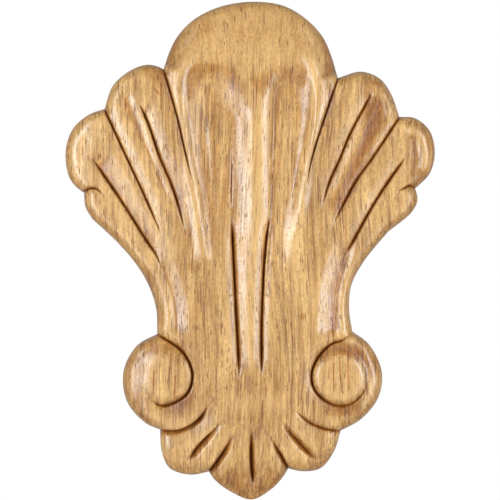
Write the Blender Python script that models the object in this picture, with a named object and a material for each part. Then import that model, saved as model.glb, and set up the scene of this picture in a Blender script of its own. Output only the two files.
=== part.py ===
# Carved wood applique: a fan of petals over two volutes, cut from one board.
# The flat back lies in the plane Y = 0, the carving faces -Y, +X is right and +Z is up.
# The tables below are in millimetres, from the middle of the back.

import math

import bmesh
import bpy
import numpy as np
from mathutils.geometry import delaunay_2d_cdt

MM = 0.001
PIECE_NAME = "applique"

# Heights above the flat back
RIM_HEIGHT = 9.0
LOWEST_CUT = 5.0
CROWN = [(-96.0, 10.2), (-90.0, 12.2), (-82.0, 14.6), (-72.0, 16.6), (-60.0, 17.8), (-40.0, 18.4),
         (0.0, 18.8), (40.0, 19.0), (62.0, 18.6), (72.0, 17.8), (82.0, 16.2), (90.0, 14.6), (96.0, 13.0)]

# The crown falls away to both sides: (drop, half width, power) of the fan and of the foot
FAN_FALL = (4.4, 72.0, 1.8)
FOOT_FALL = (2.2, 42.0, 2.0)
FOOT_TO_FAN = (-60.0, 10.0)

# The rolled edge all along the outline
ROLL_WIDTH = 5.0
ROLL_POWER = 2.7

# The outline, clockwise from the left notch under the top lobe; each run ends where the next begins
OUTLINE_RUNS = {
    "top_lobe": [(-33.6, 69.1), (-31.6, 75.3), (-28.3, 81.7), (-21.7, 88.2), (-12.0, 92.9), (0.2, 94.8),
                 (12.1, 93.3), (20.6, 88.4), (27.2, 81.6), (30.5, 74.4)],
    "right_upper_petal": [(33.0, 65.7), (41.8, 68.1), (48.7, 65.6), (53.0, 60.2)],
    "right_outer_petal": [(56.5, 50.9), (62.5, 50.3), (68.1, 45.4), (70.0, 37.1), (68.1, 29.3)],
    "right_curl": [(62.6, 23.5), (63.4, 19.1), (61.2, 14.5)],
    "right_waist": [(52.1, 6.9), (42.8, -4.5), (38.1, -13.6), (37.3, -22.9)],
    "right_volute": [(38.5, -31.1), (45.0, -36.2), (49.8, -46.6), (48.4, -56.4), (41.9, -64.5)],
    "right_foot": [(34.1, -69.0), (31.5, -76.9), (26.4, -83.3), (19.7, -84.5)],
    "tip": [(14.1, -83.5), (11.3, -87.6), (7.6, -91.3), (0.2, -95.3), (-7.9, -92.3), (-13.5, -88.3)],
    "left_foot": [(-16.4, -84.7), (-23.5, -85.8), (-31.2, -83.3), (-34.2, -77.2)],
    "left_volute": [(-35.0, -68.6), (-40.5, -66.0), (-47.5, -58.1), (-48.9, -46.3), (-43.8, -36.6)],
    "left_waist": [(-36.0, -32.1), (-36.5, -22.1), (-39.2, -13.8), (-43.5, -6.2), (-50.6, 2.3)],
    "left_curl": [(-60.9, 12.0), (-63.4, 16.5)],
    "left_outer_petal": [(-64.0, 21.8), (-67.4, 24.5), (-70.0, 28.7), (-71.0, 38.2), (-68.3, 46.2),
                         (-62.4, 51.5)],
    "left_upper_petal": [(-56.2, 53.9), (-52.9, 62.7), (-47.0, 68.1), (-40.3, 70.7), (-36.5, 70.3)],
}

# The sunk ground of the two flutes, with its twin arches at the top and a rib left standing between
FLUTES = [(-14.7, -19.1), (-21.6, 13.4), (-25.0, 42.0), (-25.6, 58.5), (-23.1, 66.3), (-14.7, 71.1),
          (-5.5, 66.1), (0.2, 58.4), (5.2, 64.9), (13.9, 69.9), (22.7, 64.9), (24.6, 54.0),
          (23.1, 40.1), (18.1, 13.4), (11.7, -19.1)]
FLUTE_DEPTH = [(-40.0, 0.0), (-30.0, 0.1), (-15.0, 0.5), (0.0, 1.4), (14.0, 2.3), (30.0, 2.9),
               (50.0, 3.3), (62.0, 3.4), (80.0, 3.4)]
FLUTE_WALL = [(-20.0, 7.0), (30.0, 7.0), (52.0, 7.5), (60.0, 9.0), (75.0, 9.5)]
FLUTE_EASE = 0.4

# The rib: level, left foot, left brow, right brow, right foot
RIB = [(-50.0, -4.4, 0.6, 2.6, 4.2), (-19.0, -6.0, 0.4, 3.4, 5.4), (13.0, -7.4, -0.2, 4.8, 7.4),
       (46.0, -7.2, -0.6, 5.2, 8.2), (65.0, -6.4, -0.8, 4.4, 7.0)]
RIB_LINES = (16.0, 60.0)

# Shallow hollows in the petals: a loop round each, its depth, and the width of its wall
HOLLOWS = {
    "left_upper_petal": {"loop": [(-50.6, 57.3), (-48.9, 60.2), (-46.0, 60.4), (-44.0, 58.0),
                                  (-42.0, 53.5), (-39.4, 47.6), (-35.3, 35.4), (-30.0, 22.0),
                                  (-28.1, 15.0), (-35.0, 21.0), (-39.5, 31.3), (-44.1, 40.1),
                                  (-47.9, 47.8), (-50.8, 53.0)],
                         "depth": 0.8, "wall": 3.8},
    "left_outer_petal": {"loop": [(-67.4, 39.7), (-65.5, 43.2), (-62.1, 44.3), (-59.4, 41.6),
                                  (-59.8, 37.1), (-62.5, 33.2), (-65.9, 33.2), (-67.4, 35.9)],
                         "depth": 0.25, "wall": 3.4},
    "right_upper_petal": {"loop": [(46.0, 58.8), (47.2, 60.7), (49.9, 60.0), (52.1, 56.9), (53.3, 52.7),
                                   (52.1, 48.1), (47.6, 41.3), (42.2, 33.2), (37.6, 24.8), (35.2, 22.0),
                                   (35.6, 30.6), (38.6, 39.0), (42.2, 49.7)],
                          "depth": 0.5, "wall": 4.2},
    "right_outer_petal": {"loop": [(58.3, 41.3), (60.5, 44.3), (64.0, 43.5), (65.9, 39.7), (66.3, 34.4),
                                   (64.7, 29.4), (60.9, 26.4), (56.3, 22.9), (53.7, 25.2), (56.7, 30.6),
                                   (58.6, 36.3)],
                          "depth": 0.5, "wall": 4.4},
}

# The eyes of the volutes: centre, radius of the top and of the foot, height
EYES = [((-31.4, -48.2), 7.0, 13.0, 1.4), ((33.8, -48.6), 7.6, 11.6, 1.3)]

# Spacing of the points in the plan, and the smallest gap between two kinds of point
OUTLINE_STEP = 2.0
CUT_STEP = 2.05
BESIDE_STEP = 1.3
ROLL_RINGS = (0.7, 2.0, 3.5)
LATTICE_STEP = 2.9
VALLEY_GAP = 0.6
ARRIS_GAP = 0.6
ARRIS_RIM = 0.5
BESIDE_GAP = 0.9
RING_GAP = 1.0
LATTICE_GAP = 1.6

WOOD_COLOUR = (0.56, 0.34, 0.15, 1.0)
WOOD_ROUGHNESS = 0.42
SHARP_ANGLE = math.radians(38.0)


def cut(path, depth, valley, left, right, fade):
    """One gouge cut along a path: its valley is a V with a half width on each side of travel,
    each side has a shoulder of (width, depth, power) that rolls down into it, and it fades in and out."""
    return {"path": path, "depth": depth, "valley": valley, "left": left, "right": right, "fade": fade}


def slope(path, drop, left, right, fade):
    """The face falls towards a path without a cut: (width, power) of the fall on each side of travel."""
    return {"path": path, "drop": drop, "left": left, "right": right, "fade": fade}


def swell(path, height, left, right, fade):
    """One soft raised ridge along a path, with a half width on each side of travel."""
    return {"path": path, "height": height, "left": left, "right": right, "fade": fade}


CUTS = {
    # The fan: cuts 1 and 3 part the petals, 2 and 4 run down the middle of a petal.
    "left_1": cut([(-33.6, 69.1), (-28.5, 51.6), (-23.9, 31.5), (-21.4, 22.0)],
                  1.7, (1.0, 1.0), (2.6, 0.6, 2.0), (4.5, 0.9, 1.6), (0.0, 16.0)),
    "left_2": cut([(-43.5, 57.3), (-39.4, 48.0), (-35.2, 35.8), (-29.7, 22.4), (-24.3, 3.8)],
                  1.6, (1.0, 0.9), (6.0, 1.4, 1.4), (2.4, 0.5, 1.6), (7.0, 16.0)),
    "left_3": cut([(-56.2, 53.9), (-47.3, 34.6), (-41.3, 21.8), (-37.0, 12.1), (-32.3, 1.1)],
                  1.8, (1.0, 1.0), (4.6, 1.3, 1.4), (4.0, 0.8, 2.0), (0.0, 18.0)),
    "left_4": cut([(-61.3, 35.7), (-49.1, 17.8), (-40.3, 3.9), (-35.9, -2.8), (-33.0, -11.5)],
                  1.6, (1.0, 0.9), (8.0, 1.8, 1.25), (2.6, 0.6, 1.6), (6.0, 14.0)),
    "left_curl": cut([(-64.0, 21.8), (-62.3, 23.2), (-59.4, 23.4), (-55.6, 20.4)],
                     1.3, (0.9, 0.9), (2.0, 0.2, 2.0), (3.5, 0.9, 2.0), (0.0, 5.0)),
    "right_1": cut([(33.0, 65.7), (25.6, 43.7), (22.9, 34.6), (20.4, 21.8)],
                   1.7, (1.0, 1.0), (4.0, 0.9, 1.6), (2.8, 0.7, 2.0), (0.0, 15.0)),
    "right_2": cut([(46.6, 61.3), (37.2, 43.7), (33.5, 34.6), (29.9, 26.7), (26.0, 13.8)],
                   1.6, (1.0, 0.9), (3.6, 1.4, 1.1), (5.0, 0.9, 1.5), (6.0, 13.0)),
    "right_3": cut([(56.5, 50.9), (45.7, 34.6), (39.6, 26.1), (33.5, 14.5), (29.5, 6.5)],
                   1.8, (1.0, 1.0), (4.0, 0.9, 1.6), (4.4, 0.9, 2.0), (0.0, 16.0)),
    "right_4": cut([(59.8, 36.7), (55.2, 30.6), (47.7, 19.5), (39.5, 5.0), (34.0, -5.5), (32.4, -11.0)],
                   1.7, (1.0, 0.8), (3.4, 0.6, 1.6), (4.6, 1.0, 1.6), (8.0, 16.0)),
    "right_curl": cut([(62.6, 23.5), (60.2, 24.5), (57.4, 23.1), (54.8, 21.6)],
                      1.3, (0.9, 0.9), (3.5, 1.0, 2.0), (2.0, 0.2, 2.0), (0.0, 5.0)),
    # The long V cuts that carry on down from the feet of the rib.
    "left_long": cut([(-7.8, 13.8), (-6.3, -17.6), (-4.7, -50.8)],
                     1.8, (1.3, 0.8), (5.6, 1.4, 1.15), (2.2, 0.6, 1.4), (10.0, 14.0)),
    "right_long": cut([(7.1, 14.5), (5.5, 1.9), (4.2, -22.0), (3.9, -49.3)],
                      1.8, (0.8, 1.0), (2.4, 0.6, 1.4), (4.2, 1.1, 1.15), (10.0, 12.0)),
    # The spiral creases round the eyes of the volutes.
    "left_volute": cut([(-36.0, -32.1), (-26.9, -38.2), (-23.7, -43.2), (-22.6, -48.1), (-24.3, -54.1),
                        (-28.1, -57.3), (-33.8, -59.2), (-39.9, -56.3)],
                       1.8, (0.9, 0.8), (6.0, 1.3, 2.0), (3.0, 0.8, 2.0), (0.0, 8.0)),
    "right_volute": cut([(38.5, -31.1), (35.0, -34.2), (30.4, -35.9), (25.4, -40.9), (23.0, -47.0),
                         (23.9, -52.7), (28.1, -57.3), (33.8, -59.4), (39.2, -57.7), (43.7, -52.0),
                         (44.1, -44.3)],
                        1.8, (0.8, 0.8), (3.0, 0.8, 2.0), (5.0, 1.0, 2.0), (8.0, 26.0)),
    # The foot: cuts fanning out between the volutes, steep on their outer sides.
    "left_foot_1": cut([(-15.9, -57.8), (-17.8, -61.1), (-20.1, -64.2), (-23.5, -66.9),
                        (-28.5, -68.8), (-35.0, -68.6)],
                       1.9, (1.5, 0.8), (8.0, 1.7, 1.5), (2.0, 0.3, 2.0), (8.0, 0.0)),
    "left_foot_2": cut([(-10.3, -64.4), (-14.7, -68.8), (-18.1, -72.2), (-21.2, -75.6), (-24.4, -81.0)],
                       2.3, (2.3, 0.8), (4.4, 1.0, 1.4), (1.5, 0.2, 2.0), (12.0, 5.0)),
    "left_foot_3": cut([(-6.1, -68.8), (-8.6, -73.0), (-11.3, -77.5), (-16.4, -84.7)],
                       2.3, (2.2, 0.8), (4.8, 1.1, 1.4), (1.5, 0.2, 2.0), (10.0, 0.0)),
    "middle_foot": cut([(0.0, -66.8), (-0.2, -72.6), (-0.2, -80.2), (0.6, -90.5)],
                       2.6, (1.7, 0.8), (2.2, 0.5, 1.5), (3.2, 0.8, 1.4), (9.0, 6.0)),
    "right_foot_3": cut([(7.0, -70.5), (9.4, -74.9), (11.7, -78.7), (14.1, -83.5)],
                        2.1, (0.8, 1.5), (1.8, 0.3, 1.5), (3.4, 0.9, 1.4), (8.0, 0.0)),
    "right_foot_2": cut([(10.5, -64.3), (14.1, -68.9), (17.9, -73.1), (21.8, -77.3), (26.4, -81.0)],
                        2.3, (1.6, 1.5), (2.6, 0.5, 1.5), (3.4, 0.8, 1.4), (11.0, 8.0)),
    "right_foot_1": cut([(15.3, -60.2), (19.3, -63.4), (23.1, -66.1), (28.1, -68.0), (34.1, -69.0)],
                        1.4, (0.8, 1.0), (2.2, 0.4, 1.5), (3.0, 0.8, 1.5), (9.0, 0.0)),
}

SLOPES = {
    # Shallow hollows that carry the outermost cuts on down the waist.
    "left_waist": slope([(-34.5, -4.0), (-31.2, -12.5), (-29.3, -20.0), (-28.8, -33.0)],
                        1.4, (5.0, 1.2), (3.8, 1.2), (12.0, 9.0)),
    "right_waist": slope([(36.6, 0.5), (33.4, -7.5), (31.7, -16.0), (31.6, -32.0)],
                         2.6, (4.2, 1.6), (7.6, 1.15), (12.0, 8.0)),
    # Rounder stretches of the rim: the left waist and both sides of the top lobe.
    "left_waist_rim": slope([(-43.5, -6.2), (-39.2, -13.8), (-36.5, -22.1), (-36.0, -32.1)],
                            1.9, (7.0, 1.2), (7.0, 1.2), (8.0, 6.0)),
    "left_lobe_rim": slope([(-33.6, 69.1), (-31.6, 75.3), (-28.3, 81.7), (-22.0, 88.0)],
                           2.2, (7.4, 1.3), (7.4, 1.3), (3.0, 9.0)),
    "right_lobe_rim": slope([(33.0, 65.7), (30.5, 74.4), (27.2, 81.6), (20.6, 88.4)],
                            2.4, (7.8, 1.3), (7.8, 1.3), (3.0, 9.0)),
    # The soft valley over the top and down the outer side of the right eye.
    "right_eye": slope([(29.0, -38.6), (34.0, -37.2), (39.0, -38.6), (42.6, -42.6), (44.0, -48.0),
                        (42.4, -53.5)],
                       0.5, (4.2, 1.6), (4.2, 1.6), (8.0, 8.0)),
}

SWELLS = {
    # The borders of the flutes, and low waves in their ground.
    "left_border": swell([(-28.8, 64.0), (-26.5, 48.0), (-24.3, 33.0), (-21.6, 18.0), (-18.0, -6.5)],
                         0.9, 2.6, 3.8, (8.0, 3.0)),
    "right_border": swell([(27.0, 64.0), (26.0, 54.0), (22.9, 40.0), (19.5, 25.0), (17.2, 4.0)],
                          0.7, 3.6, 3.0, (8.0, 16.0)),
    "left_wave": swell([(-18.2, 52.0), (-17.0, 36.0), (-13.5, 15.0), (-11.5, 0.0)],
                       0.35, 2.2, 2.2, (10.0, 12.0)),
    "right_wave": swell([(13.4, 55.0), (13.2, 30.0), (15.0, 8.0), (17.5, -20.0)],
                        0.4, 3.6, 3.0, (10.0, 14.0)),
    # The crests round the hollows of the right petals.
    "right_upper_crest": swell([(48.4, 61.0), (51.2, 58.2), (53.0, 52.0), (54.6, 48.4)],
                               0.6, 2.4, 3.0, (3.0, 4.0)),
    "right_outer_crest": swell([(58.2, 44.4), (61.4, 45.6), (64.8, 43.4), (66.6, 38.6),
                                (67.2, 33.0), (65.6, 27.8)],
                               0.8, 2.8, 3.6, (3.0, 4.0)),
}

# The ridges sharp enough to need a line of their own in the plan
CREST_LINES = ("left_border", "right_border")

# A cut is this share of its full width where it has faded to nothing
FADED_WIDTH = 0.4


def smooth_step(value, low, high):
    """0 below low, 1 above high, eased between."""
    if high <= low:
        return np.ones_like(value)
    t = np.clip((value - low) / (high - low), 0.0, 1.0)
    return t * t * (3.0 - 2.0 * t)


def smooth_curve(points, step):
    """Points at about one step along a centripetal Catmull-Rom curve through the given points."""
    knots = [np.array(point, dtype=float) for point in points]
    knots = [2 * knots[0] - knots[1]] + knots + [2 * knots[-1] - knots[-2]]
    curve = []
    for p0, p1, p2, p3 in zip(knots, knots[1:], knots[2:], knots[3:]):
        count = max(1, round(np.linalg.norm(p2 - p1) / step))
        t1 = math.sqrt(np.linalg.norm(p1 - p0))
        t2 = t1 + math.sqrt(np.linalg.norm(p2 - p1))
        t3 = t2 + math.sqrt(np.linalg.norm(p3 - p2))
        for k in range(count):
            t = t1 + (t2 - t1) * k / count
            a1 = ((t1 - t) * p0 + t * p1) / t1
            a2 = ((t2 - t) * p1 + (t - t1) * p2) / (t2 - t1)
            a3 = ((t3 - t) * p2 + (t - t2) * p3) / (t3 - t2)
            b1 = ((t2 - t) * a1 + t * a2) / t2
            b2 = ((t3 - t) * a2 + (t - t1) * a3) / (t3 - t1)
            curve.append(((t2 - t) * b1 + (t - t1) * b2) / (t2 - t1))
    curve.append(knots[-2])
    return np.array(curve)


def outline_loop(step):
    """The whole outline as one closed loop; every notch is one of its points."""
    runs = list(OUTLINE_RUNS.values())
    loop = []
    for run, following in zip(runs, runs[1:] + runs[:1]):
        loop.extend(smooth_curve(run + following[:1], step)[:-1])
    return np.array(loop)


def measure_to(points, line, closed=False):
    """Distance from each point to a line, the side it lies on (+1 is right of travel), and how
    far along the line its nearest place is. Also the line's length."""
    count = len(line)
    after = np.roll(line, -1, axis=0) if closed else np.vstack([line[1:], 2 * line[-1:] - line[-2:-1]])
    spans = after - line
    lengths = np.linalg.norm(spans, axis=1)
    along = spans / lengths[:, None]
    starts = np.concatenate([[0.0], np.cumsum(lengths)])
    total = starts[-1] if closed else starts[count - 1]
    nearest = ((line * line).sum(axis=1) - 2.0 * points @ line.T).argmin(axis=1)
    distance = np.full(len(points), np.inf)
    side = np.ones(len(points))
    place = np.zeros(len(points))
    for offset in (-1, 0):
        k = (nearest + offset) % count if closed else np.clip(nearest + offset, 0, count - 2)
        to_point = points - line[k]
        reach = np.clip((to_point * along[k]).sum(axis=1), 0.0, lengths[k])
        away = np.linalg.norm(to_point - reach[:, None] * along[k], axis=1)
        turn = along[k, 0] * to_point[:, 1] - along[k, 1] * to_point[:, 0]
        closer = away < distance
        distance = np.where(closer, away, distance)
        side = np.where(closer, np.where(turn < 0.0, 1.0, -1.0), side)
        place = np.where(closer, starts[k] + reach, place)
    return distance, side, place, total


def inside_loop(points, loop):
    """True for the points inside a closed loop."""
    x, z = points[:, 0], points[:, 1]
    result = np.zeros(len(points), dtype=bool)
    for (x1, z1), (x2, z2) in zip(loop, np.roll(loop, -1, axis=0)):
        crosses = (z1 > z) != (z2 > z)
        if crosses.any():
            result ^= crosses & (x < (x2 - x1) * (z - z1) / (z2 - z1 + 1e-12) + x1)
    return result


def table_value(table, value, column=1):
    """Read one column of a table of (place, sizes) as a smooth curve."""
    curve = smooth_curve([(row[0], row[column]) for row in table], 1.0)
    return np.interp(value, curve[:, 0], curve[:, 1])


def fade_along(spec, place, total):
    """1 along the body of a cut or ridge, easing to 0 over its fades at the two ends."""
    start, end = spec["fade"]
    return smooth_step(place, 0.0, start) * (1.0 - smooth_step(place, total - end, total) * (end > 0.0))


def cut_depth(spec, distance, side, place, total):
    """How deep one cut goes at each point: a V between two shoulders, which meet in its valley."""
    strength = fade_along(spec, place, total)
    right = side > 0.0
    valley = np.where(right, spec["valley"][1], spec["valley"][0])
    valley = valley * (FADED_WIDTH + (1.0 - FADED_WIDTH) * strength)
    width, drop, power = (np.where(right, *pair) for pair in zip(spec["right"], spec["left"]))
    wall = np.clip(1.0 - distance / valley, 0.0, 1.0)
    lower = max(spec["left"][1], spec["right"][1])
    shoulder = drop * np.clip(1.0 - distance / width, 0.0, 1.0) ** power + (lower - drop) * wall
    return strength * (spec["depth"] * wall + shoulder)


def slope_depth(spec, distance, side, place, total):
    """How far the face falls towards a path at each point."""
    width, power = (np.where(side > 0.0, *pair) for pair in zip(spec["right"], spec["left"]))
    fall = np.clip(1.0 - distance / width, 0.0, 1.0) ** power
    return spec["drop"] * fade_along(spec, place, total) * fall


def swell_height(spec, distance, side, place, total):
    """How high one ridge stands at each point."""
    width = np.where(side > 0.0, spec["right"], spec["left"])
    across = np.clip(distance / width, 0.0, 1.0)
    return spec["height"] * fade_along(spec, place, total) * (1.0 - across ** 2) ** 2


def crown_height(x, z):
    """The broad swell of the board: highest down the middle, falling to the sides."""
    fan = smooth_step(z, *FOOT_TO_FAN)
    fan_drop = FAN_FALL[0] * (np.abs(x) / FAN_FALL[1]) ** FAN_FALL[2]
    foot_drop = FOOT_FALL[0] * (np.abs(x) / FOOT_FALL[1]) ** FOOT_FALL[2]
    return table_value(CROWN, z) - fan * fan_drop - (1.0 - fan) * foot_drop


def flute_depth(points):
    """The twin flutes, less the rib that stands between them."""
    x, z = points[:, 0], points[:, 1]
    loop = smooth_curve(FLUTES, 1.2)
    distance = measure_to(points, loop, closed=True)[0]
    wall = np.clip(distance / table_value(FLUTE_WALL, z), 0.0, 1.0)
    wall = 0.5 * smooth_step(wall, 0.0, 1.0) + 0.5 * (1.0 - (1.0 - wall) ** 2)
    ground = np.where(inside_loop(points, loop), wall, 0.0)
    left_foot, left_brow, right_brow, right_foot = [table_value(RIB, z, k) for k in (1, 2, 3, 4)]
    left_slope = (x - left_foot) / (left_brow - left_foot)
    rib = np.minimum(left_slope, (right_foot - x) / (right_foot - right_brow))
    rib = np.clip(rib, 0.0, 1.0)
    rib = 0.75 * rib + 0.25 * smooth_step(rib, 0.0, 1.0)
    return table_value(FLUTE_DEPTH, z) * ground * (1.0 - rib)


def hollow_depth(points, spec):
    """One shallow hollow with soft walls."""
    loop = smooth_curve(spec["loop"], 1.2)
    inside = np.where(inside_loop(points, loop), measure_to(points, loop, closed=True)[0], 0.0)
    return spec["depth"] * smooth_step(inside, 0.0, spec["wall"])


def relief_height(points):
    """Height of the carved face above the flat back at each point of the plan."""
    x, z = points[:, 0], points[:, 1]
    rim_distance = measure_to(points, outline_loop(0.8), closed=True)[0]
    outer = 1.0 - np.clip(rim_distance / ROLL_WIDTH, 0.0, 1.0)
    roll = 1.0 - (1.0 - outer ** ROLL_POWER) ** (1.0 / ROLL_POWER)
    deepest = np.zeros(len(points))
    for specs, measure in ((CUTS, cut_depth), (SLOPES, slope_depth)):
        for spec in specs.values():
            path = smooth_curve(spec["path"], 1.0)
            deepest = np.maximum(deepest, measure(spec, *measure_to(points, path)))
    sunk = flute_depth(points) + deepest + sum(hollow_depth(points, spec) for spec in HOLLOWS.values())
    top = crown_height(x, z)
    for spec in SWELLS.values():
        top += swell_height(spec, *measure_to(points, smooth_curve(spec["path"], 1.0)))
    for (eye_x, eye_z), top_radius, foot_radius, rise in EYES:
        top += rise * (1.0 - smooth_step(np.hypot(x - eye_x, z - eye_z), top_radius, foot_radius))
    return np.maximum(top - (top - RIM_HEIGHT) * roll - sunk, LOWEST_CUT)


class Plan:
    """Points of the flat pattern, kept apart by a least gap, with the edges that have to stay."""

    def __init__(self):
        self.points = []
        self.edges = []
        self.cells = {}

    def neighbour(self, point, gap):
        """The index of a point already within the gap, or None."""
        reach = int(math.ceil(gap))
        column, row = math.floor(point[0]), math.floor(point[1])
        for i in range(column - reach, column + reach + 1):
            for j in range(row - reach, row + reach + 1):
                for index in self.cells.get((i, j), ()):
                    if math.dist(self.points[index], point) < gap:
                        return index
        return None

    def add(self, point, gap):
        """Add a point, or give the one that is already there."""
        index = self.neighbour(point, gap)
        if index is None:
            index = len(self.points)
            self.points.append((float(point[0]), float(point[1])))
            self.cells.setdefault((math.floor(point[0]), math.floor(point[1])), []).append(index)
        return index

    def add_line(self, line, gap, longest=math.inf):
        """Add points along a line and keep the edges between them."""
        indices = [self.add(point, gap) for point in line]
        for a, b in zip(indices, indices[1:]):
            if a != b and math.dist(self.points[a], self.points[b]) < longest:
                self.edges.append((a, b))


def left_normals(line, closed=False):
    """Unit normals to the left of travel at each point of a line."""
    if closed:
        ways = np.roll(line, -1, axis=0) - np.roll(line, 1, axis=0)
    else:
        ways = np.gradient(line, axis=0)
    ways = ways / np.linalg.norm(ways, axis=1)[:, None]
    return np.stack([-ways[:, 1], ways[:, 0]], axis=1)


def lay_out_plan():
    """The flat pattern: outline, valleys, arrises and bends with a row beside each, rim rings, lattice."""
    plan = Plan()
    loop = outline_loop(OUTLINE_STEP)
    for point in loop:
        plan.add(point, 0.0)
    outline_count = len(plan.points)
    lines = []
    for spec in CUTS.values():
        valley = smooth_curve(spec["path"], CUT_STEP)
        _, _, place, total = measure_to(valley, valley)
        strength = fade_along(spec, place, total)
        share = (FADED_WIDTH + (1.0 - FADED_WIDTH) * strength)[:, None]
        plan.add_line(valley, VALLEY_GAP)
        normals = left_normals(valley)
        lines.append((valley + normals * spec["valley"][0] * share, (1.0,)))
        lines.append((valley - normals * spec["valley"][1] * share, (-1.0,)))
    lines.extend((line, (1.0, -1.0)) for line in form_lines())
    for line, _ in lines:
        plan.add_line(line[clear_of_rim(line, loop, ARRIS_RIM)], ARRIS_GAP, longest=2.0 * CUT_STEP)
    for line, ways in lines:
        for way in ways:
            beside = line + way * left_normals(line) * BESIDE_STEP
            for point in beside[clear_of_rim(beside, loop, BESIDE_GAP)]:
                plan.add(point, BESIDE_GAP)
    for depth in ROLL_RINGS:
        ring = loop - left_normals(loop, closed=True) * depth
        for point in ring[clear_of_rim(ring, loop, depth - 0.1)]:
            plan.add(point, RING_GAP)
    lattice = lattice_points(loop)
    for point in lattice[clear_of_rim(lattice, loop, ROLL_RINGS[-1] + 0.8)]:
        plan.add(point, LATTICE_GAP)
    return plan, outline_count


def form_lines():
    """Lines along the bends of the broad forms: the flutes, the rib, their borders, the eyes."""
    flutes = smooth_curve(FLUTES, CUT_STEP)
    ease = FLUTE_EASE * table_value(FLUTE_WALL, flutes[:, 1])[:, None]
    lines = [flutes, flutes - left_normals(flutes) * ease]
    levels = np.arange(RIB_LINES[0], RIB_LINES[1], CUT_STEP)
    for column in (1, 2, 3, 4):
        lines.append(np.stack([table_value(RIB, levels, column), levels], axis=1))
    for name in CREST_LINES:
        lines.append(smooth_curve(SWELLS[name]["path"], CUT_STEP))
    for centre, top_radius, foot_radius, _ in EYES:
        for radius in (top_radius, 0.5 * (top_radius + foot_radius), foot_radius):
            angles = np.linspace(0.0, 2.0 * math.pi, round(2.0 * math.pi * radius / CUT_STEP) + 1)
            lines.append(np.array(centre) + radius * np.stack([np.cos(angles), np.sin(angles)], axis=1))
    return lines


def clear_of_rim(points, loop, clearance):
    """True for the points that lie inside the outline by at least the clearance."""
    return inside_loop(points, loop) & (measure_to(points, loop, closed=True)[0] > clearance)


def lattice_points(loop):
    """A triangular lattice over the whole plan."""
    low, high = loop.min(axis=0), loop.max(axis=0)
    row_step = LATTICE_STEP * math.sqrt(3.0) / 2.0
    points = []
    for row in range(int((high[1] - low[1]) / row_step) + 1):
        shift = 0.5 * LATTICE_STEP * (row % 2)
        for x in np.arange(low[0] + shift, high[0], LATTICE_STEP):
            points.append((x, low[1] + row * row_step))
    return np.array(points)


def carve_piece(collection, wood):
    """Raise the plan to the carved face, and close it with a straight side wall and a flat back."""
    plan, outline_count = lay_out_plan()
    boundary = [list(range(outline_count))]
    flat, _, triangles, *_ = delaunay_2d_cdt(plan.points, plan.edges, boundary, 1, 1e-5)
    points = np.array([tuple(point) for point in flat])
    heights = relief_height(points)
    bm = bmesh.new()
    for (x, z), height in zip(points, heights):
        bm.verts.new((x * MM, -height * MM, z * MM))
    bm.verts.ensure_lookup_table()
    for triangle in triangles:
        bm.faces.new([bm.verts[index] for index in triangle])
    rim = [edge for edge in bm.edges if edge.is_boundary]
    wall = bmesh.ops.extrude_edge_only(bm, edges=rim)["geom"]
    for vertex in wall:
        if isinstance(vertex, bmesh.types.BMVert):
            vertex.co.y = 0.0
    bmesh.ops.holes_fill(bm, edges=[edge for edge in bm.edges if edge.is_boundary], sides=0)
    bmesh.ops.triangulate(bm, faces=bm.faces[:])
    bmesh.ops.recalc_face_normals(bm, faces=bm.faces[:])
    mesh = bpy.data.meshes.new(PIECE_NAME)
    bm.to_mesh(mesh)
    bm.free()
    mesh.shade_smooth()
    mesh.set_sharp_from_angle(angle=SHARP_ANGLE)
    mesh.materials.append(wood)
    piece = bpy.data.objects.new(PIECE_NAME, mesh)
    collection.objects.link(piece)
    return piece


def wood_material():
    """Golden hardwood under a satin lacquer."""
    material = bpy.data.materials.new("wood")
    material.use_nodes = True
    shader = material.node_tree.nodes["Principled BSDF"]
    shader.inputs["Base Color"].default_value = WOOD_COLOUR
    shader.inputs["Roughness"].default_value = WOOD_ROUGHNESS
    shader.inputs["Metallic"].default_value = 0.0
    return material


def main():
    for old in list(bpy.data.objects):
        bpy.data.objects.remove(old, do_unlink=True)
    collection = bpy.data.collections.new("wood_applique")
    bpy.context.scene.collection.children.link(collection)
    carve_piece(collection, wood_material())


main()
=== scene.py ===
# Carved wood applique: the finely carved face, its lacquered wood, the studio and the camera.
import math

import bmesh
import bpy
import numpy as np
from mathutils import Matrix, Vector
from mathutils.geometry import delaunay_2d_cdt


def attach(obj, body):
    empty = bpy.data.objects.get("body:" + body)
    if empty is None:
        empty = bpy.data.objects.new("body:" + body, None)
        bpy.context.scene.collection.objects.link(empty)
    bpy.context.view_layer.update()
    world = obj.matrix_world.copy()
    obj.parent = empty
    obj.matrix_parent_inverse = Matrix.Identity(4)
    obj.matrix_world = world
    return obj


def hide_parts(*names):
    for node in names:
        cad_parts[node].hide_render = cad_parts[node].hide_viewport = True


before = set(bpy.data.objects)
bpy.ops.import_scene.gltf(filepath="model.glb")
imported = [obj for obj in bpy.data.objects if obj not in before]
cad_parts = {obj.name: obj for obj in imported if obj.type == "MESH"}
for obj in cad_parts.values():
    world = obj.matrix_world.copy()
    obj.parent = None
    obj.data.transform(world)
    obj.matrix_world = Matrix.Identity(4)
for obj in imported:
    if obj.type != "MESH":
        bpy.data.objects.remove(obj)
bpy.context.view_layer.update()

mm = 0.001


def cut(path, depth, valley, left, right, fade):
    # One gouge cut: its valley is a V with a half width on each side of travel, each side
    # has a shoulder of (width, depth, power) that rolls down into it, and it fades in and out.
    return {"path": path, "depth": depth, "valley": valley, "left": left, "right": right, "fade": fade}


def slope(path, drop, left, right, fade):
    # The face falls towards a path without a cut: (width, power) of the fall on each side of travel.
    return {"path": path, "drop": drop, "left": left, "right": right, "fade": fade}


def swell(path, height, left, right, fade):
    # One soft raised ridge along a path, with a half width on each side of travel.
    return {"path": path, "height": height, "left": left, "right": right, "fade": fade}


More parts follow.
